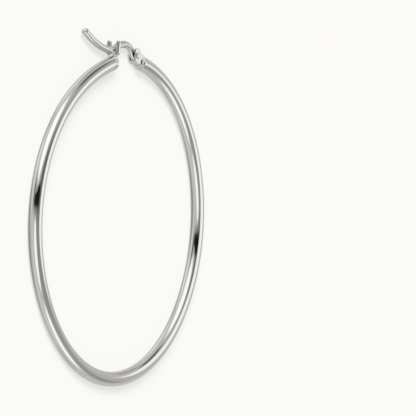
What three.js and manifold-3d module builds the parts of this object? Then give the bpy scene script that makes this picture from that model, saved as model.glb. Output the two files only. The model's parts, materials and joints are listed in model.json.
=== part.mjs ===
// A polished hollow tube hoop earring with a saddleback clasp: a bent ear wire is riveted between the two
// ears of a hinge at one end of the tube, spans the gap for the ear lobe, and snaps down into a forked
// catch at the other end. Its tail turns up as the thumb tab that opens it.
//
// Millimetres. The hoop lies flat, as it does on a table: +Z is up through the ring, +Y points from the
// ring's centre to the clasp, and the origin is under the middle of the whole earring's box.
import * as THREE from 'three';
import { mergeVertices } from 'three/addons/utils/BufferGeometryUtils.js';
import Module from 'manifold-3d';

const wasm = await Module();
wasm.setup();

// ---- driving dimensions ----
const OUTER_DIAMETER = 50.1;        // across the outside of the ring
const TUBE_WIDTH = 2.24;            // across the ring: bending the tube has left it a little oval
const TUBE_HEIGHT = 2.1;
const TUBE_WALL = 0.25;
const RING_RADIUS = (OUTER_DIAMETER - TUBE_WIDTH) / 2;      // of the tube's centreline

// Angles run round the ring from the +Y axis, positive towards the hinge (+X).
const CATCH_END_ANGLE = -8.9;       // the tube is cut off here, and then again along the catch plate
const CATCH_ANGLE = -10.04;         // the middle of the plate's disc
const HINGE_END_ANGLE = 9.4;        // where the tube stops and the hinge's plug starts
const PLUG_END_ANGLE = 8.2;
const HINGE_SPRING = 0.13;          // the hinge end stands out from the true circle by this much
const HINGE_SPRING_SPAN = 117;      // over this much of the ring
const SHOULDER_DEPTH = 0.86;        // the ring's shoulder before the catch is flatter by this much
const SHOULDER_LEAD = 4.5;          // its flattening starts this far beyond the tube's end
const SHOULDER_SPAN = 102;
const SHOULDER_SKEW = 0.48;         // under 1 moves the flattest place towards the catch

const CATCH_THICKNESS = 0.5;
const CATCH_LEAN = 6;               // the fork's top leans over the ear gap
const CATCH_HALF_WIDTH = 1.05;
const CATCH_WAIST_HALF_WIDTH = 0.68;
const CATCH_WAIST_TOP = 24.1;       // above the waist the plate widens to the prongs' feet
const CATCH_PRONG_FOOT = 24.68;
const CATCH_TOP = 26.5;
const NOTCH_HALF_WIDTH = 0.62;
const NOTCH_CENTRE = 25.08;         // of the notch's round bottom
const PRONG_ROUND = 0.18;

const PIVOT = new THREE.Vector2(2.13, 24.67);
const EAR_INNER = 0.42;             // half the space between the hinge's ears
const EAR_OUTER = 0.69;
const SLOT_FLOOR = 23.86;
const SLOT_BACK = 3.16;
const PLUG_TOP = 24.92;             // the slot runs back over the plug above this
const PLUG_DIAMETER = 1.8;
const PLUG_DEPTH = 1.4;             // how far the plug reaches into the tube, in degrees of the ring

const WIRE_DIAMETER = 1.1;
const EYE_RADIUS = 0.72;
const EYE_HALF_THICKNESS = 0.31;
const FLATTENED_RADIUS = 1.6;       // the wire is flattened this far out from the pivot
const BORE_RADIUS = 0.3;
const PIN_RADIUS = 0.26;
const HEAD_RADIUS = 0.46;
const HEAD_GAP = 0.03;
const HEAD_HEIGHT = 0.2;

const HOLLOW_FROM_HINGE = 2;        // the tube is solid this far in from its ends, in degrees of the ring
const HOLLOW_FROM_CATCH = 1.6;
const VENT_DIAMETER = 0.5;          // lets air out of the hollow tube when its ends are soldered shut
const VENT_ANGLE = -16;

// The ear wire's centreline, from the hinge to the thumb tab.
const WIRE_ROUTE = [
  // place          x       y
  ['pivot',         2.13, 24.67],
  ['neck',          1.34, 25.33],
  ['arch right',    0.60, 25.86],
  ['arch top',     -0.66, 26.17],
  ['arch left',    -2.12, 26.00],
  ['ramp',         -3.08, 25.65],
  ['notch',        -3.95, 25.20],
  ['lowest',       -5.05, 25.03],
  ['tail rise',    -7.54, 25.38],
  ['tail bend',    -9.85, 26.11],
  ['tip',         -12.17, 27.26],
];

// ---- helpers ----

/** The closed solid that a three.js geometry encloses. */
function solidOf(geometry) {
  const bare = geometry.clone();
  bare.deleteAttribute('normal');
  bare.deleteAttribute('uv');
  const merged = mergeVertices(bare, 1e-4);
  const mesh = new wasm.Mesh({
    numProp: 3,
    vertProperties: new Float32Array(merged.getAttribute('position').array),
    triVerts: new Uint32Array(merged.index.array),
  });
  return new wasm.Manifold(mesh);
}

/** The three.js geometry of a solid. */
function geometryOf(solid) {
  const mesh = solid.getMesh();
  const geometry = new THREE.BufferGeometry();
  geometry.setAttribute('position', new THREE.BufferAttribute(mesh.vertProperties, 3));
  geometry.setIndex(new THREE.BufferAttribute(mesh.triVerts, 1));
  geometry.computeVertexNormals();
  return geometry;
}

/** A many-sided oval whose flat sides just touch the true one, with a flat side square to +X. */
function ovalSection(acrossX, acrossY, sides) {
  const reach = 0.5 / Math.cos(Math.PI / sides);
  const corners = Array.from({ length: sides }, (_, side) => {
    const angle = ((side + 0.5) * 2 * Math.PI) / sides;
    return new THREE.Vector2(reach * acrossX * Math.cos(angle), reach * acrossY * Math.sin(angle));
  });
  return new THREE.Shape(corners);
}

/** A bar of oval section along a curve that lies in a level plane, with a flat side down. */
function ovalBar(curve, width, height, sides, steps) {
  const section = ovalSection(height, width, sides);
  return solidOf(new THREE.ExtrudeGeometry(section, { extrudePath: curve, steps }));
}

/** An outline in the XY plane, made as thick as the space between two heights. */
function plate(shape, lowest, highest, curveSegments = 6) {
  const options = { depth: highest - lowest, bevelEnabled: false, curveSegments };
  return solidOf(new THREE.ExtrudeGeometry(shape, options).translate(0, 0, lowest));
}

/** A box between two corners. */
function block(low, high) {
  const size = high.clone().sub(low);
  const middle = low.clone().add(high).multiplyScalar(0.5);
  return solidOf(new THREE.BoxGeometry(size.x, size.y, size.z).translate(middle.x, middle.y, middle.z));
}

/** An upright cylinder through the middle plane. */
function upright(centre, radius, halfHeight, sides) {
  const cylinder = new THREE.CylinderGeometry(radius, radius, 2 * halfHeight, sides);
  return solidOf(cylinder.rotateX(Math.PI / 2).translate(centre.x, centre.y, 0));
}

/** The tube's centreline between two angles, the long way round by way of the bottom of the ring. */
class RingCurve extends THREE.Curve {
  constructor(from, to) {
    super();
    this.from = from;
    this.to = to;
  }

  /** The centreline at an angle: a circle with a flatter shoulder and one end a little sprung. */
  static at(angle, target = new THREE.Vector3()) {
    const fromHinge = THREE.MathUtils.euclideanModulo(angle - PLUG_END_ANGLE, 360);
    const fromCatch = THREE.MathUtils.euclideanModulo(CATCH_END_ANGLE - angle, 360);
    const spring = HINGE_SPRING * Math.max(0, 1 - fromHinge / HINGE_SPRING_SPAN) ** 2;
    const along = Math.min(1, (SHOULDER_LEAD + fromCatch) / SHOULDER_SPAN) ** SHOULDER_SKEW;
    const flattening = SHOULDER_DEPTH * Math.sin(Math.PI * along) ** 2;
    const radius = RING_RADIUS + spring - flattening;
    const radians = THREE.MathUtils.degToRad(angle);
    return target.set(radius * Math.sin(radians), radius * Math.cos(radians), 0);
  }

  getPoint(t, target) {
    return RingCurve.at(THREE.MathUtils.lerp(this.from, this.to, t), target);
  }
}

// ---- the pieces, with the ring's centre at the origin ----

/** Moves a geometry from its own origin, square to X, to the tube's catch end, and leans it over the gap. */
function atCatch(geometry) {
  const place = RingCurve.at(CATCH_ANGLE);
  return geometry.rotateZ(-THREE.MathUtils.degToRad(CATCH_LEAN)).translate(place.x, place.y, 0);
}

/** The plate that closes the tube and carries the wire's fork. */
function catchPlate() {
  const discCentre = RingCurve.at(CATCH_ANGLE).y;
  const wide = CATCH_HALF_WIDTH;
  const waist = CATCH_WAIST_HALF_WIDTH;
  const waistTop = CATCH_WAIST_TOP - discCentre;
  const prongFoot = CATCH_PRONG_FOOT - discCentre;
  const flare = (waistTop + prongFoot) / 2;
  const outer = wide - PRONG_ROUND;
  const inner = NOTCH_HALF_WIDTH + PRONG_ROUND;
  const rounding = CATCH_TOP - PRONG_ROUND - discCentre;
  const fork = new THREE.Shape();
  fork.moveTo(-waist, 0);
  fork.lineTo(waist, 0);
  fork.lineTo(waist, waistTop);
  fork.bezierCurveTo(waist, flare, wide, flare, wide, prongFoot);
  fork.absarc(outer, rounding, PRONG_ROUND, 0, Math.PI / 2, false);
  fork.absarc(inner, rounding, PRONG_ROUND, Math.PI / 2, Math.PI, false);
  fork.absarc(0, NOTCH_CENTRE - discCentre, NOTCH_HALF_WIDTH, 0, -Math.PI, true);
  fork.absarc(-inner, rounding, PRONG_ROUND, 0, Math.PI / 2, false);
  fork.absarc(-outer, rounding, PRONG_ROUND, Math.PI / 2, Math.PI, false);
  fork.lineTo(-wide, prongFoot);
  fork.bezierCurveTo(-wide, flare, -waist, flare, -waist, waistTop);
  const disc = new THREE.Shape();
  disc.absellipse(0, 0, TUBE_HEIGHT / 2, TUBE_WIDTH / 2, 0, 2 * Math.PI, false, 0);
  const [standingFork, standingDisc] = [fork, disc].map((shape) => {
    const options = { depth: CATCH_THICKNESS, bevelEnabled: false, curveSegments: 8 };
    const standing = new THREE.ExtrudeGeometry(shape, options).rotateY(Math.PI / 2);
    return solidOf(atCatch(standing.translate(-CATCH_THICKNESS / 2, 0, 0)));
  });
  return standingFork.add(standingDisc);
}

/** What is cut off the tube's raw end, so that it stops in the middle of the catch plate. */
function beyondCatch() {
  return solidOf(atCatch(new THREE.BoxGeometry(2, 4, 4).translate(1, 0, 0)));
}

/** The plug in the tube's end and the two ears on it, with the slot between them for the wire's eye. */
function hingeBracket() {
  const side = new THREE.Shape();
  side.moveTo(4.28, 23.53);
  side.lineTo(4.28, 24.72);
  side.lineTo(3.31, 25.01);
  side.quadraticCurveTo(3.02, 25.68, 2.2, 25.85);
  side.lineTo(2.03, 25.85);
  side.quadraticCurveTo(1.62, 25.84, 1.61, 25.42);
  side.lineTo(1.61, 24.49);
  side.quadraticCurveTo(1.64, 23.67, 2.67, 23.4);
  const plugRoute = new RingCurve(PLUG_END_ANGLE, HINGE_END_ANGLE + PLUG_DEPTH);
  const plug = ovalBar(plugRoute, PLUG_DIAMETER, PLUG_DIAMETER, 16, 4);
  const ears = plate(side, -EAR_OUTER, EAR_OUTER);
  const front = 1;
  const back = 5;
  const slot = block(
    new THREE.Vector3(front, SLOT_FLOOR, -EAR_INNER),
    new THREE.Vector3(SLOT_BACK, CATCH_TOP, EAR_INNER),
  );
  const slotOverPlug = block(
    new THREE.Vector3(front, PLUG_TOP, -EAR_INNER),
    new THREE.Vector3(back, CATCH_TOP, EAR_INNER),
  );
  const pinHole = upright(PIVOT, BORE_RADIUS, TUBE_HEIGHT, 16);
  return plug.add(ears).subtract(slot).subtract(slotOverPlug).subtract(pinHole);
}

function hoop() {
  const steps = 64;
  const endOfRing = CATCH_END_ANGLE + 360;
  const tube = ovalBar(new RingCurve(HINGE_END_ANGLE, endOfRing), TUBE_WIDTH, TUBE_HEIGHT, 16, steps);
  const hollowRoute = new RingCurve(HINGE_END_ANGLE + HOLLOW_FROM_HINGE, CATCH_ANGLE + 360 - HOLLOW_FROM_CATCH);
  const hollow = ovalBar(hollowRoute, TUBE_WIDTH - 2 * TUBE_WALL, TUBE_HEIGHT - 2 * TUBE_WALL, 12, steps);
  const ventPlace = RingCurve.at(VENT_ANGLE);
  const vent = new THREE.CylinderGeometry(VENT_DIAMETER / 2, VENT_DIAMETER / 2, TUBE_HEIGHT / 2, 8);
  vent.rotateX(Math.PI / 2).translate(ventPlace.x, ventPlace.y, -TUBE_HEIGHT / 2);
  const closedTube = tube.subtract(beyondCatch()).add(catchPlate()).add(hingeBracket());
  return closedTube.subtract(hollow).subtract(solidOf(vent));
}

/** The bent wire, flattened and drilled where it turns on the rivet. */
function earWire() {
  const route = new THREE.CatmullRomCurve3(WIRE_ROUTE.map(([, x, y]) => new THREE.Vector3(x, y, 0)));
  const bar = ovalBar(route, WIRE_DIAMETER, WIRE_DIAMETER, 12, 56);
  const tip = route.getPoint(1);
  const roundTip = new THREE.SphereGeometry(WIRE_DIAMETER / 2, 12, 8).translate(tip.x, tip.y, 0);
  const shaved = upright(PIVOT, FLATTENED_RADIUS, WIRE_DIAMETER, 24)
    .subtract(upright(PIVOT, 2 * FLATTENED_RADIUS, EYE_HALF_THICKNESS, 24));
  const eye = upright(PIVOT, EYE_RADIUS, EYE_HALF_THICKNESS, 20);
  const bore = upright(PIVOT, BORE_RADIUS, WIRE_DIAMETER, 16);
  return bar.add(solidOf(roundTip)).subtract(shaved).add(eye).subtract(bore);
}

/** The pin through both ears and the eye, with a low domed head outside each ear. */
function hingeRivet() {
  const headFoot = EAR_OUTER + HEAD_GAP;
  const dome = [
    [PIN_RADIUS, headFoot],
    [HEAD_RADIUS, headFoot],
    [HEAD_RADIUS, headFoot + 0.3 * HEAD_HEIGHT],
    [0.75 * HEAD_RADIUS, headFoot + 0.75 * HEAD_HEIGHT],
    [0.35 * HEAD_RADIUS, headFoot + 0.97 * HEAD_HEIGHT],
    [0, headFoot + HEAD_HEIGHT],
  ];
  const lower = dome.map(([radius, height]) => new THREE.Vector2(radius, -height)).reverse();
  const upper = dome.map(([radius, height]) => new THREE.Vector2(radius, height));
  const rivet = new THREE.LatheGeometry([...lower, ...upper], 16);
  return solidOf(rivet.rotateX(Math.PI / 2).translate(PIVOT.x, PIVOT.y, 0));
}

// ---- the earring ----

/** A named piece of the earring in its own finish. */
function piece(name, solid, finish) {
  const mesh = new THREE.Mesh(geometryOf(solid), new THREE.MeshStandardMaterial(finish));
  mesh.name = name;
  return mesh;
}

const silver = { color: 0xd9d8d5, roughness: 0.08, metalness: 1 };
const rivetSilver = { color: 0xcfcecb, roughness: 0.12, metalness: 1 };

const earring = new THREE.Group();
earring.add(piece('hoop', hoop(), silver));
earring.add(piece('ear_wire', earWire(), silver));
earring.add(piece('hinge_rivet', hingeRivet(), rivetSilver));

const box = new THREE.Box3().setFromObject(earring);
const centre = box.getCenter(new THREE.Vector3());
earring.position.set(-centre.x, -centre.y, -box.min.z);

export default earring;
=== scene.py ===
# %% [markdown]
# # A hollow silver hoop earring with a saddleback clasp
#
# The real earring is a thin-walled silver tube, rolled into a ring of 50 mm, with a small hinge soldered
# into one end and a stamped fork closing the other. A bent wire turns on a rivet in the hinge, crosses the
# gap through the ear lobe and snaps down into the fork. The measured model comes in first, as a frame that
# nothing here may move: every new piece takes its place from it.

import json
from math import cos, pi, radians, sin, sqrt

import bmesh
import bpy
from mathutils import Matrix, Vector


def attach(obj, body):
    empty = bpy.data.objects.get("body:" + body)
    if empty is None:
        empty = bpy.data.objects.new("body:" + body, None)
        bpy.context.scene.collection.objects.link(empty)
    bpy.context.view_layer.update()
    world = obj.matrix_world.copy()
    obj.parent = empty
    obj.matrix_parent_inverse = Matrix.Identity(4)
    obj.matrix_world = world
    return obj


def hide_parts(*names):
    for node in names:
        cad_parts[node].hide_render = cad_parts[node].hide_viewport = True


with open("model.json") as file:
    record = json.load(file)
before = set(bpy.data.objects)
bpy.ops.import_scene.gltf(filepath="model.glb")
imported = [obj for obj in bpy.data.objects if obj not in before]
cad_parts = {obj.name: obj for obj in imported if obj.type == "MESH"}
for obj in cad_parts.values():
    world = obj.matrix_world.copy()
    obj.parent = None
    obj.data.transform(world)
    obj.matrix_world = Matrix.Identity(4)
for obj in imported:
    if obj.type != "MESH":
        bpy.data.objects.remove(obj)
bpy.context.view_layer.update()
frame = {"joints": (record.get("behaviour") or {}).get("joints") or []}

# %% [markdown]
# ## Working in a jeweller's units
#
# Blender counts in metres, and the whole earring is five hundredths of one. It is easier to read a bench
# drawing in millimetres with the ring's centre at zero, so each piece is modelled that way and one matrix
# carries it to its place at the end. The hinge's pivot is known in both, which is what fixes the matrix.

# %% From the bench drawing to the frame
MM = 0.001
PIVOT = Vector((2.13, 24.67, 0.0))              # the rivet, seen from the ring's centre, in mm
hinge = frame["joints"][0]
RING_CENTRE = Vector(hinge["pos_m"]) - PIVOT * MM
TO_FRAME = Matrix.Translation(RING_CENTRE) @ Matrix.Scale(MM, 4)
print("the ring's centre, in the frame:", tuple(RING_CENTRE))

# %% [markdown]
# ## The camera
#
# The hoop lies on its side and the camera looks down on it from one side, a long way off through a long
# lens, so that the near and the far side of the ring are almost equally large. Starting from a camera that
# looks straight down with the clasp at the top of the picture, it is swung over towards -X round the hoop's
# own upright axis. Building that as three small turns keeps each number readable.

# %% Place the camera
SWUNG_OVER = 61.03                              # degrees from straight down
TIPPED = 0.50
ROLLED = 2.47
CAMERA_DISTANCE = 530.25                        # mm, from the plane through the ring's centre
LENS = 306.55                                   # mm, for a picture 36 mm wide
AIM = Vector((13.272, 1.710, 0.0))              # mm right of and above the ring's centre, in the picture

turn = (Matrix.Rotation(radians(-SWUNG_OVER), 4, "Y")
        @ Matrix.Rotation(radians(TIPPED), 4, "X")
        @ Matrix.Rotation(radians(ROLLED), 4, "Z"))
stand = turn @ (AIM + Vector((0.0, 0.0, CAMERA_DISTANCE)))
camera_data = bpy.data.cameras.new("camera")
camera_data.lens = LENS
camera_data.sensor_width = 36.0
camera_data.clip_start = 0.01
camera = bpy.data.objects.new("camera", camera_data)
camera.matrix_world = Matrix.Translation(RING_CENTRE + stand * MM) @ turn
bpy.context.scene.collection.objects.link(camera)
bpy.context.scene.camera = camera
bpy.context.scene.view_settings.view_transform = "Standard"
print("camera height above the floor, mm:", round(camera.matrix_world.translation.z / MM, 1))

# %% [markdown]
# ## Nodes without repetition
#
# A material is a small graph. One helper adds a node, sets its inputs and links what feeds it, so that a
# finish below reads from top to bottom like a recipe. Colours are written as they would be picked on a
# screen, in hex, and one function turns them into the linear light that Blender mixes.


# %% Helpers for materials
def colour(code):
    """The linear colour of an sRGB hex value."""
    channels = [int(code[i:i + 2], 16) / 255 for i in (0, 2, 4)]
    return tuple(c / 12.92 if c <= 0.04045 else ((c + 0.055) / 1.055) ** 2.4 for c in channels) + (1.0,)


def add_node(tree, kind, inputs=None, **settings):
    """A new node. Inputs are values, or outputs of other nodes, by the socket's name or number."""
    node = tree.nodes.new(kind)
    for key, value in settings.items():
        setattr(node, key, value)
    for key, value in (inputs or {}).items():
        if isinstance(value, bpy.types.NodeSocket):
            tree.links.new(value, node.inputs[key])
        else:
            node.inputs[key].default_value = value
    return node


def new_material(name):
    """An empty material and its tree, with only the output in it."""
    material = bpy.data.materials.new(name)
    material.use_nodes = True
    material.node_tree.nodes.clear()
    return material, material.node_tree


def finish_material(tree, shader):
    """Shows the shader on the surface."""
    add_node(tree, "ShaderNodeOutputMaterial", {"Surface": shader.outputs[0]})


# %% [markdown]
# ## The floor
#
# Small polished jewellery is usually laid on a sheet of white acrylic with a lamp under it: the light from
# below thins every shadow to a faint grey and keeps the sheet one even, slightly warm white. Part of the
# floor's brightness is therefore its own, as emission, and part is what the studio's lamps give it.

# %% Lay the floor
floor_material, tree = new_material("white_acrylic_sheet")
cloud = add_node(tree, "ShaderNodeTexNoise", {"Scale": 9.0, "Detail": 1.0})
tint = add_node(tree, "ShaderNodeMix", {"Factor": cloud.outputs["Fac"], "A": colour("666768"),
                                        "B": colour("6a6b6c")}, data_type="RGBA")
sheet = add_node(tree, "ShaderNodeBsdfPrincipled", {
    "Base Color": tint.outputs["Result"], "Roughness": 0.9, "Specular IOR Level": 0.0,
    "Emission Color": colour("fffdf7"), "Emission Strength": 0.702})
finish_material(tree, sheet)

bm = bmesh.new()
bmesh.ops.create_grid(bm, x_segments=1, y_segments=1, size=3.0)
floor_mesh = bpy.data.meshes.new("floor")
bm.to_mesh(floor_mesh)
bm.free()
floor = bpy.data.objects.new("floor", floor_mesh)
floor.data.materials.append(floor_material)
bpy.context.scene.collection.objects.link(floor)
floor.visible_glossy = False                    # the metal mirrors the light painted below it instead
print("laid:", floor_material.name)

# %% [markdown]
# ## The studio
#
# A mirror has no look of its own: what makes polished silver read as silver is what stands round it. Here
# that is a pale room with large feathered soft boxes and one black flag, the jeweller's trick that gives
# the tube its dark accents. They stand far off, so they are painted on the world: each is placed by its
# compass bearing and height as seen from the hoop, with bearing 0 towards -Y and 90 towards +X, and fades
# out softly at its edges, which real diffusers do. A shade is a card that dims the room.

# %% The room
world = bpy.data.worlds.new("pale_room")
bpy.context.scene.world = world
world.use_nodes = True
room_tree = world.node_tree
room_tree.nodes.clear()
look = add_node(room_tree, "ShaderNodeTexCoord")
rise = add_node(room_tree, "ShaderNodeSeparateXYZ", {0: look.outputs["Generated"]})
level = add_node(room_tree, "ShaderNodeMapRange", {"Value": rise.outputs["Z"], "From Min": -1.0})
walls = add_node(room_tree, "ShaderNodeValToRGB", {0: level.outputs["Result"]})
# the room's grey, from straight down (0) to straight up (1)
WALLS = {0.0: "aeacab", 0.06: "bcbab8", 0.2: "d3d1cf", 0.5: "d8d6d3", 0.67: "d0cecc", 0.82: "bfbebd",
         0.93: "a4a3a3", 1.0: "9d9c9c"}
ramp = walls.color_ramp
ramp.elements[0].color, ramp.elements[1].color = colour(WALLS[0.0]), colour(WALLS[1.0])
for position, code in list(WALLS.items())[1:-1]:
    ramp.elements.new(position).color = colour(code)


# %% Soft boxes and flags
def bearing(azimuth, height):
    """The direction with that compass bearing and height above the floor, in degrees."""
    a, h = radians(azimuth), radians(height)
    return Vector((sin(a) * cos(h), -cos(a) * cos(h), sin(h)))


def feathered_disc(tree, place, feather):
    """1 inside a disc of radius 1 round the middle of its coordinates, and 0 outside, with a soft edge."""
    out = add_node(tree, "ShaderNodeVectorMath", {0: place}, operation="LENGTH")
    cover = add_node(tree, "ShaderNodeMapRange", {
        "Value": out.outputs["Value"], "From Min": 1 - feather, "From Max": 1 + feather, "To Min": 1.0,
        "To Max": 0.0}, interpolation_type="SMOOTHSTEP")
    return cover.outputs["Result"]


def hang(tree, behind, azimuth, height, width, length, feather, light, lean):
    """Hangs a lamp or a flag in front of what is behind it. Its size is in degrees, as the hoop sees it."""
    facing = bearing(azimuth, height).to_track_quat("Z", "Y").to_matrix()
    facing = facing @ Matrix.Rotation(radians(lean), 3, "Z")
    across = add_node(tree, "ShaderNodeMapping", {
        "Vector": look.outputs["Generated"], "Rotation": facing.to_euler(),
        "Scale": (sin(radians(width / 2)), sin(radians(length / 2)), 1.0)}, vector_type="TEXTURE")
    flat = add_node(tree, "ShaderNodeVectorMath", {0: across.outputs[0], 1: (1, 1, 0)}, operation="MULTIPLY")
    cover = feathered_disc(tree, flat.outputs[0], feather)
    ahead = add_node(tree, "ShaderNodeSeparateXYZ", {0: across.outputs[0]})
    front = add_node(tree, "ShaderNodeMath", {0: ahead.outputs["Z"], 1: 0.0}, operation="GREATER_THAN")
    mask = add_node(tree, "ShaderNodeMath", {0: cover, 1: front.outputs[0]}, operation="MULTIPLY")
    grey = tuple(light * channel for channel in colour("fffefb")[:3]) + (1.0,)
    mixed = add_node(tree, "ShaderNodeMix", {"Factor": mask.outputs[0], "A": behind, "B": grey},
                     data_type="RGBA")
    return mixed.outputs["Result"]


# bearing, height, width and length in degrees, feather, brightness (1 is white), and lean in degrees;
# a later one hangs in front of an earlier one
STUDIO = {
    "window behind": (-148, 16, 62, 55, 0.25, 1.38, 0),
    "window beside the camera": (-63, 38, 45, 39, 0.25, 1.25, 0),
    "window in front": (3, 29, 56, 30, 0.27, 1.28, 0),
    "light from the floor, left": (-124, -52, 50, 36, 0.6, 1.15, 0),
    "light from the floor, right": (62, -62, 60, 40, 0.7, 0.88, 0),
    "light from the floor, behind": (162, -32, 38, 30, 0.6, 0.93, 0),
    "sheen low in front": (-42, -9, 90, 26, 0.6, 0.8, 0),
    "shade under the camera": (-64, -66, 60, 36, 0.8, 0.36, 0),
    "shade straight below": (-80, -84, 26, 20, 0.6, 0.34, 0),
    "shade beside the near soft box": (60, 36, 28, 40, 0.3, 0.4, 0),
    "shade on the right": (149, 25, 28, 20, 0.35, 0.17, 0),
    "shade low on the right": (130, 4, 24, 18, 0.6, 0.42, 0),
    "shade low in front": (16, -17, 22, 16, 0.6, 0.5, 0),
    "shade overhead": (-160, 74, 44, 26, 0.4, 0.17, 0),
    "the flag's soft edge": (-98.5, 32, 11, 64, 0.8, 0.27, 0),
    "the flag's soft foot": (-109, 8, 10, 32, 0.8, 0.42, 0),
    "shade low on the left": (-109.5, -10, 23, 13, 0.6, 0.04, 0),
    "black flag": (-102.8, 23, 10, 48, 0.35, 0.02, 2),
    "the flag's upper half": (-110.5, 54, 13, 53, 0.35, 0.012, 8),
}
seen = walls.outputs["Color"]
for values in STUDIO.values():
    seen = hang(room_tree, seen, *values)
room = add_node(room_tree, "ShaderNodeBackground", {"Color": seen, "Strength": 1.0})
add_node(room_tree, "ShaderNodeOutputWorld", {"Surface": room.outputs[0]})
print("in the studio:", ", ".join(STUDIO))

# %% [markdown]
# One soft box stands so near, a hand's breadth and a half away, that the clasp and the bottom of the ring
# see it at different bearings. That can't be painted on a far-off world, so it is a real sheet of lit cloth,
# fading out at its edge. Only the metal sees it: the floor has its own light.

# %% Hang the near soft box
BOX_AT = (104, 54)                              # bearing and height, in degrees
BOX_AWAY, BOX_HALF_WIDTH, BOX_HALF_LENGTH = 150, 53, 76      # mm; the edge is feathered about that size
BOX_FEATHER, BOX_LIGHT = 0.22, 1.2

cloth, tree = new_material("lit_diffuser_cloth")
place = add_node(tree, "ShaderNodeTexCoord")
cover = feathered_disc(tree, place.outputs["Object"], BOX_FEATHER)
clear = add_node(tree, "ShaderNodeBsdfTransparent")
lit = add_node(tree, "ShaderNodeEmission", {"Color": colour("fffefb"), "Strength": BOX_LIGHT})
finish_material(tree, add_node(tree, "ShaderNodeMixShader", {
    0: cover, 1: clear.outputs[0], 2: lit.outputs[0]}))

bm = bmesh.new()
bmesh.ops.create_circle(bm, cap_ends=True, segments=48, radius=1.25)     # clear of the feathered edge
cloth_mesh = bpy.data.meshes.new("soft_box")
bm.to_mesh(cloth_mesh)
bm.free()
soft_box = bpy.data.objects.new("soft_box", cloth_mesh)
soft_box.data.materials.append(cloth)
soft_box.matrix_world = (Matrix.Translation(RING_CENTRE + bearing(*BOX_AT) * BOX_AWAY * MM)
                         @ bearing(*BOX_AT).to_track_quat("Z", "Y").to_matrix().to_4x4()
                         @ Matrix.Diagonal((BOX_HALF_WIDTH * MM, BOX_HALF_LENGTH * MM, 1.0, 1.0)))
for ray in ("camera", "diffuse", "shadow", "transmission", "volume_scatter"):
    setattr(soft_box, "visible_" + ray, False)
bpy.context.scene.collection.objects.link(soft_box)
print("near soft box, mm:", 2 * BOX_HALF_WIDTH, "by", 2 * BOX_HALF_LENGTH, "and", BOX_AWAY, "away")

# %% [markdown]
# A sky full of soft boxes throws shadows every way, and they cancel out. One lamp is therefore added as a
# light of its own, low on the camera's side, and lays a short soft shadow on the far side of the tube. It
# is there only for that shadow, so it is hidden from the metal, which has the soft boxes to mirror.

# %% The lamp that throws the shadow
SHADOW_LAMP_AT, SHADOW_LAMP_WIDTH = (-120, 33), 24           # degrees; a wider lamp blurs the shadow more
shadow_lamp_data = bpy.data.lights.new("shadow_lamp", "SUN")
shadow_lamp_data.energy = 7.6
shadow_lamp_data.angle = radians(SHADOW_LAMP_WIDTH)
shadow_lamp = bpy.data.objects.new("shadow_lamp", shadow_lamp_data)
shadow_lamp.matrix_world = bearing(*SHADOW_LAMP_AT).to_track_quat("Z", "Y").to_matrix().to_4x4()
shadow_lamp.visible_glossy = False
bpy.context.scene.collection.objects.link(shadow_lamp)
print("the shadow's lamp stands at", SHADOW_LAMP_AT, "degrees")

# %% [markdown]
# ## Rhodium-plated sterling silver
#
# The tube is sterling silver, buffed to a mirror and plated with rhodium, which is a little darker and
# cooler than bare silver and doesn't tarnish. A mirror finish is still not perfect: a thin tube keeps a
# faint waviness from drawing and bending, and the buff leaves a haze that comes and goes over a few
# millimetres. Both are drawn here from noise in real sizes; the hairlines of the buff are finer than can
# be seen, so they are drawn a few times coarser than they are.


# %% The polished metal
def polished_metal(name, base, deep, roughness, haze, waviness_mm):
    """A polished plated metal: a tint that wanders a little, a haze from the buff, a slight waviness."""
    material, tree = new_material(name)
    place = add_node(tree, "ShaderNodeTexCoord")
    tint = add_node(tree, "ShaderNodeTexNoise",
                    {"Vector": place.outputs["Object"], "Scale": 1 / (6 * MM), "Detail": 2.0})
    plating = add_node(tree, "ShaderNodeMix", {"Factor": tint.outputs["Fac"], "A": colour(base),
                                               "B": colour(deep)}, data_type="RGBA")
    patches = add_node(tree, "ShaderNodeTexNoise",
                       {"Vector": place.outputs["Object"], "Scale": 1 / (2.5 * MM), "Detail": 3.0})
    buffing = add_node(tree, "ShaderNodeMapRange",
                       {"Value": patches.outputs["Fac"], "From Min": 0.3, "From Max": 0.7,
                        "To Min": roughness, "To Max": roughness + haze})
    wave = add_node(tree, "ShaderNodeTexNoise",
                    {"Vector": place.outputs["Object"], "Scale": 1 / (3 * MM), "Detail": 1.0})
    hairlines = add_node(tree, "ShaderNodeTexNoise",
                         {"Vector": place.outputs["Object"], "Scale": 1 / (0.12 * MM), "Detail": 1.0})
    wavy = add_node(tree, "ShaderNodeBump", {"Height": wave.outputs["Fac"], "Strength": 1.0,
                                             "Distance": waviness_mm * MM})
    scratched = add_node(tree, "ShaderNodeBump", {"Height": hairlines.outputs["Fac"], "Strength": 1.0,
                                                  "Distance": 0.0002 * MM, "Normal": wavy.outputs["Normal"]})
    metal = add_node(tree, "ShaderNodeBsdfPrincipled", {
        "Base Color": plating.outputs["Result"], "Metallic": 1.0, "Roughness": buffing.outputs["Result"],
        "Normal": scratched.outputs["Normal"]})
    finish_material(tree, metal)
    return material


RHODIUM = polished_metal("rhodium_plated_silver_mirror_polished", "dededc", "d9d9d8", 0.03, 0.03, 0.003)
RIVET_SILVER = polished_metal("rhodium_plated_silver_tumbled", "dbdbd9", "d5d5d3", 0.10, 0.08, 0.002)
print("finishes:", RHODIUM.name, RIVET_SILVER.name)
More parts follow.
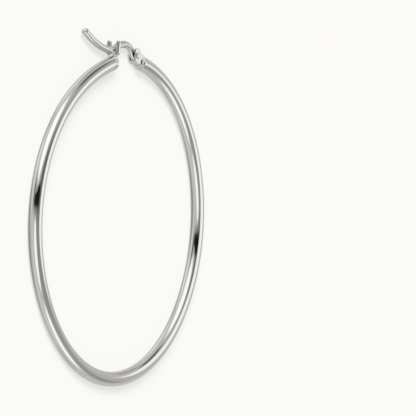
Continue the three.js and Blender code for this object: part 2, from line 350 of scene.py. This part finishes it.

# %% [markdown]
# ## From a rough mesh to a finished piece
#
# Each piece below is a bmesh in millimetres. The helpers turn it into an object, let modifiers cut or melt
# it, freeze the result, carry it to its place, hang it on its part's empty and hide the measured part it
# stands for.
# Edges that turn sharply stay crisp and everything else is shaded smooth, as polished metal is.


# %% Helpers for pieces
def rough_piece(name, bm):
    """An object from a bmesh, still in millimetres."""
    bmesh.ops.recalc_face_normals(bm, faces=bm.faces)
    mesh = bpy.data.meshes.new(name)
    bm.to_mesh(mesh)
    bm.free()
    piece = bpy.data.objects.new(name, mesh)
    bpy.context.scene.collection.objects.link(piece)
    return piece


def freeze(piece):
    """The piece's modifiers become its mesh."""
    bpy.context.view_layer.update()
    seen = piece.evaluated_get(bpy.context.evaluated_depsgraph_get())
    mesh = bpy.data.meshes.new_from_object(seen)
    piece.modifiers.clear()
    piece.data = mesh


def carve(piece, *cutters):
    """Cuts the other objects out of the piece, and removes them."""
    for cutter in cutters:
        cut = piece.modifiers.new("cut", "BOOLEAN")
        cut.operation = "DIFFERENCE"
        cut.solver = "EXACT"
        cut.object = cutter
        freeze(piece)
        bpy.data.objects.remove(cutter)


def melt(piece, grain, passes):
    """Melts overlapping solids into one and rounds its edges, as soldering, filing and buffing do."""
    fuse = piece.modifiers.new("fuse", "REMESH")
    fuse.mode = "VOXEL"
    fuse.voxel_size = grain
    buff = piece.modifiers.new("buff", "SMOOTH")
    buff.factor = 0.5
    buff.iterations = passes
    freeze(piece)


def finish_piece(piece, body, node, material, crisp=40):
    """Carries the piece to its place, shades it, hangs it on its body's empty and hides the measured part
    that it stands for. An edge that turns by more than crisp degrees stays an edge."""
    bm = bmesh.new()
    bm.from_mesh(piece.data)
    bmesh.ops.transform(bm, matrix=TO_FRAME, verts=bm.verts)
    for face in bm.faces:
        face.smooth = True
    for edge in bm.edges:
        edge.smooth = edge.calc_face_angle(0.0) < radians(crisp)
    bm.to_mesh(piece.data)
    bm.free()
    piece.data.materials.clear()
    piece.data.materials.append(material)
    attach(piece, body)
    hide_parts(node)
    print(piece.name, len(piece.data.polygons), "faces, rides on", body)
    return piece


# %% [markdown]
# ## The tube
#
# A draughtsman would draw the section and turn it round the ring's centre, and Blender's spin does the
# same: one section, 342 degrees of turn. Bending round tube leaves it a little oval, wider across the ring
# than it is high, so the section is drawn so. The real ring isn't quite a circle either. Its shoulder before
# the catch is bent flatter, so that the wire can reach the fork, and the hinge end springs out a hair. Both
# are small moves in or out that depend only on the angle, so they are made on the spun mesh afterwards.

# %% The ring's line
SKIN = 0.006                                    # inside the measured skin by this much
TUBE_OUT, TUBE_UP = 2.24 / 2 - SKIN, 2.10 / 2 - SKIN      # half the tube's width across the ring, and height
TUBE_WALL = 0.25
RING_RADIUS = 23.93                             # of the tube's centreline
CATCH_END = -8.9                                # degrees round from +Y, positive towards the hinge
CATCH_ANGLE = -10.04                            # the middle of the catch's disc
HINGE_END, PLUG_START = 9.4, 8.2
SPRING, SPRING_SPAN = 0.13, 117
SHOULDER, SHOULDER_LEAD, SHOULDER_SPAN, SHOULDER_SKEW = 0.86, 4.5, 102, 0.48


def bow(angle):
    """How far the ring's line stands out from its true circle at an angle, in mm."""
    from_hinge = (angle - PLUG_START) % 360
    from_catch = (CATCH_END - angle) % 360
    spring = SPRING * max(0.0, 1 - from_hinge / SPRING_SPAN) ** 2
    along = min(1.0, (SHOULDER_LEAD + from_catch) / SHOULDER_SPAN) ** SHOULDER_SKEW
    return spring - SHOULDER * sin(pi * along) ** 2


def round_the_ring(angle):
    """The outward direction at an angle round the ring."""
    return Vector((sin(radians(angle)), cos(radians(angle)), 0.0))


def ring_bar(half_out, half_up, start, end, segments, steps):
    """A closed bar of oval section along the ring's line."""
    bm = bmesh.new()
    bmesh.ops.create_circle(bm, segments=segments, radius=1.0)
    out = round_the_ring(start)
    upright = Matrix((out * half_out, Vector((0, 0, half_up)), out.cross(Vector((0, 0, 1)))))
    upright = upright.transposed().to_4x4()
    upright.translation = out * RING_RADIUS
    bmesh.ops.transform(bm, matrix=upright, verts=bm.verts)
    bmesh.ops.spin(bm, geom=bm.verts[:] + bm.edges[:], cent=(0, 0, 0), axis=(0, 0, -1),
                   angle=radians(end - start), steps=steps)
    bm.verts.index_update()
    for index, vert in enumerate(bm.verts):
        angle = start + (end - start) * (index // segments) / steps
        vert.co += round_the_ring(angle) * bow(angle)
    rims = [edge for edge in bm.edges if edge.is_boundary]
    bmesh.ops.holes_fill(bm, edges=rims, sides=0)
    return bm


# %% Spin the tube, cut its end along the catch, hollow it and drill its vent
CATCH_LEAN = 6                                  # degrees that the fork leans over the ear gap
SOLID_AT_HINGE, SOLID_AT_CATCH = 2, 1.6         # degrees at each end that solder and plug fill
TUBE_STOPS_SHORT = 0.36                         # of the middle of the catch's disc
disc_place = round_the_ring(CATCH_ANGLE) * (RING_RADIUS + bow(CATCH_ANGLE))
AT_CATCH = Matrix.Translation(disc_place) @ Matrix.Rotation(radians(-CATCH_LEAN), 4, "Z")


def past_the_catch(short):
    """A block that starts a little short of the middle of the catch, in mm, and reaches past it."""
    bm = bmesh.new()
    bmesh.ops.create_cube(bm, size=4.0)
    bmesh.ops.translate(bm, verts=bm.verts, vec=(2 - short, 0, 0))
    bmesh.ops.transform(bm, matrix=AT_CATCH, verts=bm.verts)
    return rough_piece("past_the_catch", bm)


bm = ring_bar(TUBE_OUT, TUBE_UP, HINGE_END, CATCH_END + 360, 64, 300)
rims = [edge for edge in bm.edges if any(len(face.verts) > 4 for face in edge.link_faces)]
bmesh.ops.bevel(bm, geom=rims, offset=0.06, offset_type="OFFSET", segments=3, profile=0.5,
                affect="EDGES", material=-1, clamp_overlap=True)
tube = rough_piece("hoop_tube", bm)
hollow = rough_piece("hollow", ring_bar(TUBE_OUT - TUBE_WALL, TUBE_UP - TUBE_WALL,
                                        HINGE_END + SOLID_AT_HINGE,
                                        CATCH_ANGLE + 360 - SOLID_AT_CATCH, 32, 200))
bm = bmesh.new()
VENT_ANGLE, VENT_RADIUS = -16, 0.25
bmesh.ops.create_cone(bm, cap_ends=True, segments=24, radius1=VENT_RADIUS, radius2=VENT_RADIUS,
                      depth=TUBE_UP)
vent_place = round_the_ring(VENT_ANGLE) * (RING_RADIUS + bow(VENT_ANGLE)) - Vector((0, 0, TUBE_UP))
bmesh.ops.translate(bm, verts=bm.verts, vec=vent_place)
vent = rough_piece("vent", bm)
carve(tube, hollow, vent, past_the_catch(TUBE_STOPS_SHORT))
finish_piece(tube, "hoop", "hoop", RHODIUM)

# %% [markdown]
# ## The catch
#
# The catch is stamped from sheet: a disc that closes the tube, a waist, and a fork whose round-bottomed
# notch grips the wire. It leans a little over the gap for the ear. Drawn as one outline and given its
# thickness, it would look like a paper cut-out. The real one was soldered to the tube and buffed, so the
# plate and a short stub of the tube are melted into one skin, which leaves a fillet in the corner and
# rounds every edge. Last, each prong is turned a little about itself, as if pliers had closed it on the
# wire: two mirrors that face the same way would look drawn, and these never do.


# %% Outlines
def arc(centre, radius, start, end, steps):
    """Points along an arc, angles in degrees."""
    angles = [radians(start + (end - start) * i / steps) for i in range(steps + 1)]
    return [Vector((centre[0] + radius * cos(a), centre[1] + radius * sin(a))) for a in angles]


def ease(t):
    """From 0 to 1, starting and stopping gently."""
    t = max(0.0, min(1.0, t))
    return t * t * (3 - 2 * t)


def sheet_piece(bm, outline, low, high, to_place=None):
    """Adds an outline in the XY plane, given its thickness between two heights."""
    verts = [bm.verts.new((point[0], point[1], low)) for point in outline]
    face = bm.faces.new(verts)
    raised = bmesh.ops.extrude_face_region(bm, geom=[face])["geom"]
    raised = [item for item in raised if isinstance(item, bmesh.types.BMVert)]
    bmesh.ops.translate(bm, verts=raised, vec=(0, 0, high - low))
    if to_place:
        bmesh.ops.transform(bm, matrix=to_place, verts=verts + raised)


# %% Stamp and solder the catch
CATCH_THICKNESS = 0.5
PRONG_TWIST, TWIST_BELOW, TWIST_OVER = 15, 0.55, 0.35      # degrees, and mm below the fork's foot and over
NOTCH_RADIUS, NOTCH_UP = 0.62, 25.08 - disc_place.y      # heights are measured from the disc's middle
FORK_HALF, FORK_FOOT, FORK_TOP = 1.045, 24.68 - disc_place.y, 26.53 - disc_place.y
WAIST_HALF, WAIST_TOP = 0.68, 24.10 - disc_place.y
MOUTH_HALF = 0.54                               # the wire snaps past the prongs
TIP_RADIUS = (FORK_HALF - MOUTH_HALF) / 2
prong_x = (FORK_HALF + MOUTH_HALF) / 2
half_fork = [Vector((WAIST_HALF, 0)), Vector((WAIST_HALF, WAIST_TOP)),
             Vector((WAIST_HALF + 0.06, WAIST_TOP + 0.22)), Vector((FORK_HALF - 0.06, FORK_FOOT - 0.22)),
             Vector((FORK_HALF, FORK_FOOT))]
half_fork += arc((prong_x, FORK_TOP - TIP_RADIUS), TIP_RADIUS, 0, 180, 8)
half_fork += [Vector((MOUTH_HALF, NOTCH_UP + 0.85)), Vector((NOTCH_RADIUS, NOTCH_UP + 0.45))]
other_half = [Vector((-point.x, point.y)) for point in reversed(half_fork)]
fork = half_fork + arc((0, NOTCH_UP), NOTCH_RADIUS, 0, -180, 14) + other_half
disc = [Vector((p.x * (TUBE_UP + SKIN), p.y * (TUBE_OUT + 0.03))) for p in arc((0, 0), 1, 0, 352.5, 47)]
standing = AT_CATCH @ Matrix(((0, 0, 1, 0), (0, 1, 0, 0), (1, 0, 0, 0), (0, 0, 0, 1)))
stub = rough_piece("stub", ring_bar(TUBE_OUT - 0.06, TUBE_UP - 0.06, CATCH_ANGLE - 3, CATCH_END, 64, 8))
carve(stub, past_the_catch(0))
bm = bmesh.new()
bm.from_mesh(stub.data)
bpy.data.objects.remove(stub)
for shape in (fork, disc):
    sheet_piece(bm, shape, -CATCH_THICKNESS / 2, CATCH_THICKNESS / 2, standing)
catch = rough_piece("catch_fork", bm)
melt(catch, 0.035, 5)
off_square = (AT_CATCH.to_3x3() @ Vector((1, 0, 0))) * sin(radians(PRONG_TWIST))
for vert in catch.data.vertices:                # each prong was dressed with pliers, a little towards +Z
    up = (AT_CATCH.inverted() @ vert.co).y
    middle = prong_x * max(-1.0, min(1.0, vert.co.z / 0.4))
    vert.co += off_square * (vert.co.z - middle) * ease((up - FORK_FOOT + TWIST_BELOW) / TWIST_OVER)
finish_piece(catch, "hoop", "hoop", RHODIUM)

# %% [markdown]
# ## The hinge
#
# The hinge is a small casting: a plug that is soldered into the tube's open end, and two ears with a slot
# between them for the wire's flattened eye. The ears are two sheets of the same outline; a lower, shorter
# outline fills the space between them under and behind the eye. Melting them together rounds the edges the
# way the barrel tumbler does. The hole for the rivet, the seat of the eye and a shallow recess for each
# rivet head are drilled afterwards, so they stay crisp.


# %% Curved outlines
def bend(start, corner, end, steps=6):
    """Points along a curve that leaves start and reaches end towards the corner."""
    s, c, e = Vector(start), Vector(corner), Vector(end)
    way = [i / steps for i in range(steps + 1)]
    return [s * (1 - t) ** 2 + c * 2 * t * (1 - t) + e * t ** 2 for t in way]


def round_cutter(name, radius, low, high):
    """An upright cylinder round the pivot, between two heights."""
    bm = bmesh.new()
    bmesh.ops.create_cone(bm, cap_ends=True, segments=48, radius1=radius, radius2=radius,
                          depth=abs(high - low))
    bmesh.ops.translate(bm, verts=bm.verts, vec=PIVOT + Vector((0, 0, (low + high) / 2)))
    return rough_piece(name, bm)


# %% Cast the hinge
BORE_RADIUS = 0.3                               # for the rivet, through the ears and the wire's eye
EAR_INNER, EAR_OUTER = 0.42, 0.69               # half the space between the ears, and half over both
PLUG_RADIUS, PLUG_DEPTH = 0.9, 1.4              # mm, and degrees into the tube
SEAT_RADIUS, RECESS_RADIUS, RECESS_DEPTH = 0.745, 0.53, 0.05
SLOT_FLOOR, SLOT_BACK, WEB_TOP = 23.98, 3.18, 24.90
ear = [Vector((4.28, 23.53)), Vector((4.28, 24.72))]
ear += bend((3.31, 25.01), (3.02, 25.68), (2.20, 25.86))
ear += bend((2.03, 25.86), (1.62, 25.85), (1.61, 25.42))
ear += bend((1.61, 24.49), (1.64, 23.67), (2.67, 23.40))
web = [Vector((4.28, 23.53)), Vector((4.28, 24.72)), Vector((3.61, WEB_TOP)), Vector((SLOT_BACK, WEB_TOP)),
       Vector((SLOT_BACK, SLOT_FLOOR)), Vector((1.91, SLOT_FLOOR)), Vector((2.67, 23.40))]
bm = ring_bar(PLUG_RADIUS, PLUG_RADIUS, PLUG_START, HINGE_END + PLUG_DEPTH, 48, 4)
sheet_piece(bm, ear, EAR_INNER, EAR_OUTER)
sheet_piece(bm, ear, -EAR_OUTER, -EAR_INNER)
sheet_piece(bm, web, -EAR_INNER - 0.1, EAR_INNER + 0.1)
bracket = rough_piece("hinge_fork", bm)
melt(bracket, 0.033, 9)
seat = round_cutter("seat", SEAT_RADIUS, -EAR_INNER, EAR_INNER)
recesses = [round_cutter("recess", RECESS_RADIUS, side * (EAR_OUTER - RECESS_DEPTH), side * 2)
            for side in (-1, 1)]
carve(bracket, round_cutter("pin_hole", BORE_RADIUS, -2, 2), seat, *recesses)
finish_piece(bracket, "hoop", "hoop", RHODIUM)

# %% [markdown]
# ## The rivet
#
# A rivet is a body of revolution, so its profile is drawn once and spun a full turn: a pin, and a low dome
# at each end where the hammer spread it. It is softer silver than the casting and stays a little duller.

# %% Head the rivet
PIN_RADIUS, HEAD_RADIUS, HEAD_UNDER, HEAD_TOP = 0.26, 0.43, 0.70, 0.91
dome = [(HEAD_RADIUS * cos(radians(a)), HEAD_UNDER + 0.05 + (HEAD_TOP - HEAD_UNDER - 0.05) * sin(radians(a)))
        for a in range(0, 91, 10)]
half = [(PIN_RADIUS, 0.0), (PIN_RADIUS, HEAD_UNDER), (HEAD_RADIUS - 0.02, HEAD_UNDER)] + dome
profile = [(r, -z) for r, z in reversed(half[1:])] + half
bm = bmesh.new()
verts = [bm.verts.new((r, 0, z)) for r, z in profile]
edges = [bm.edges.new(pair) for pair in zip(verts, verts[1:])]
bmesh.ops.spin(bm, geom=verts + edges, cent=(0, 0, 0), axis=(0, 0, 1), angle=2 * pi, steps=40,
               use_merge=True)
bmesh.ops.remove_doubles(bm, verts=bm.verts, dist=0.002)
bmesh.ops.translate(bm, verts=bm.verts, vec=PIVOT)
rivet = rough_piece("hinge_rivet_headed", bm)
finish_piece(rivet, "hoop", "hinge_rivet", RIVET_SILVER)

# %% [markdown]
# ## The ear wire
#
# One length of round wire, just over a millimetre thick: flattened and drilled at the hinge, arched up out
# of the ears, dipped into the fork's notch, and turned up into a thumb tab whose end is filed round. Its
# line is a smooth curve through the places that matter. The round section is carried along that line step
# by step, extruding the last ring of edges each time, and then the end is hammered flat.

# %% The wire's line
WIRE_ROUTE = [(2.13, 24.67), (1.34, 25.33), (0.60, 25.86), (-0.66, 26.17), (-2.12, 26.00), (-3.08, 25.65),
              (-3.95, 25.20), (-5.05, 25.03), (-7.54, 25.38), (-9.85, 26.11), (-12.17, 27.26)]


def smooth_route(places, steps):
    """A smooth curve through the places, with its speed eased where they lie close together."""
    p = [Vector(place) for place in places]
    p = [2 * p[0] - p[1]] + p + [2 * p[-1] - p[-2]]
    line = []
    for a, b, c, d in zip(p, p[1:], p[2:], p[3:]):
        before, here, after = (sqrt((v - u).length) for u, v in ((a, b), (b, c), (c, d)))
        leave = ((b - a) / before - (c - a) / (before + here) + (c - b) / here) * here
        reach = ((c - b) / here - (d - b) / (here + after) + (d - c) / after) * here
        for i in range(steps):
            t = i / steps
            line.append(b * (2 * t ** 3 - 3 * t ** 2 + 1) + leave * (t ** 3 - 2 * t ** 2 + t)
                        + c * (3 * t ** 2 - 2 * t ** 3) + reach * (t ** 3 - t ** 2))
    return line + [p[-2]]


WIRE_RADIUS, TIP_WIRE_RADIUS = 0.545, 0.535
EYE_RADIUS, EYE_HALF, NECK_HALF, EYE_LIFT = 0.73, 0.29, 0.24, 0.04
EYE_NARROWS_OVER, THINS_FROM, HAMMERED_TO = 1.3, 7, 3        # mm along the wire, from the pivot
NECK_FROM, NECK_OVER, ROUND_FROM, ROUND_OVER = 0.60, 0.25, 1.35, 0.90     # mm straight out from it
line = smooth_route(WIRE_ROUTE, 10)
start_way = (line[1] - line[0]).normalized()
end_way = (line[-1] - line[-2]).normalized()
before = [line[0] - start_way * EYE_RADIUS * cos(radians(a)) for a in range(6, 90, 12)]
after = [line[-1] + end_way * TIP_WIRE_RADIUS * sin(radians(a)) for a in range(12, 90, 12)]
line = before + line + after
travel = [0.0]
for u, v in zip(line, line[1:]):
    travel.append(travel[-1] + (v - u).length)
at_pivot, at_tip = travel[len(before)], travel[-1 - len(after)]
print("the wire is", round(travel[-1], 1), "mm long")


def half_width(s):
    """Half the wire's width in the plane of the hoop, a distance s from the start of the eye."""
    if s < at_pivot:
        return sqrt(max(0.0004, EYE_RADIUS ** 2 - (at_pivot - s) ** 2))
    if s > at_tip:
        return TIP_WIRE_RADIUS * sqrt(max(0.0004, 1 - ((s - at_tip) / TIP_WIRE_RADIUS) ** 2))
    thinning = ease((s - at_pivot - THINS_FROM) / (at_tip - at_pivot - THINS_FROM))
    round_wire = WIRE_RADIUS + (TIP_WIRE_RADIUS - WIRE_RADIUS) * thinning
    return EYE_RADIUS + (round_wire - EYE_RADIUS) * ease((s - at_pivot) / EYE_NARROWS_OVER)


def half_height(s):
    """Half its height: what will be hammered starts as high as the wire, and the rest is round."""
    return WIRE_RADIUS if s < at_pivot + HAMMERED_TO else half_width(s)


# %% Draw the wire and hammer its eye
bm = bmesh.new()
bmesh.ops.create_circle(bm, cap_ends=True, segments=40, radius=1.0)
edge_ring = bm.edges[:]
last = Matrix.Identity(4)
for i, (place, s) in enumerate(zip(line, travel)):
    way = (line[min(i + 1, len(line) - 1)] - line[max(i - 1, 0)]).normalized()
    across = Vector((way.y, -way.x, 0.0))
    here = Matrix((across * half_width(s), Vector((0, 0, half_height(s))),
                   Vector((way.x, way.y, 0.0)))).transposed().to_4x4()
    here.translation = Vector((place.x, place.y, 0.0))
    if i:
        pulled = bmesh.ops.extrude_edge_only(bm, edges=edge_ring)["geom"]
        edge_ring = [item for item in pulled if isinstance(item, bmesh.types.BMEdge)
                     and all(v in pulled for v in item.verts)]
        verts = [item for item in pulled if isinstance(item, bmesh.types.BMVert)]
    else:
        verts = bm.verts[:]
    bmesh.ops.transform(bm, matrix=here @ last.inverted(), verts=verts)
    last = here
bmesh.ops.holes_fill(bm, edges=[edge for edge in bm.edges if edge.is_boundary], sides=0)
for vert in bm.verts:
    far = (vert.co - PIVOT).length
    rounding = ease((far - ROUND_FROM) / ROUND_OVER)
    limit = EYE_HALF + (NECK_HALF - EYE_HALF) * ease((far - NECK_FROM) / NECK_OVER)
    limit += (WIRE_RADIUS - NECK_HALF) * rounding
    lift = EYE_LIFT * (1 - rounding)
    vert.co.z = max(lift - limit, min(lift + limit, vert.co.z))
wire = rough_piece("ear_wire_bent", bm)
carve(wire, round_cutter("bore", BORE_RADIUS, -2, 2))
finish_piece(wire, "ear_wire", "ear_wire", RHODIUM, crisp=50)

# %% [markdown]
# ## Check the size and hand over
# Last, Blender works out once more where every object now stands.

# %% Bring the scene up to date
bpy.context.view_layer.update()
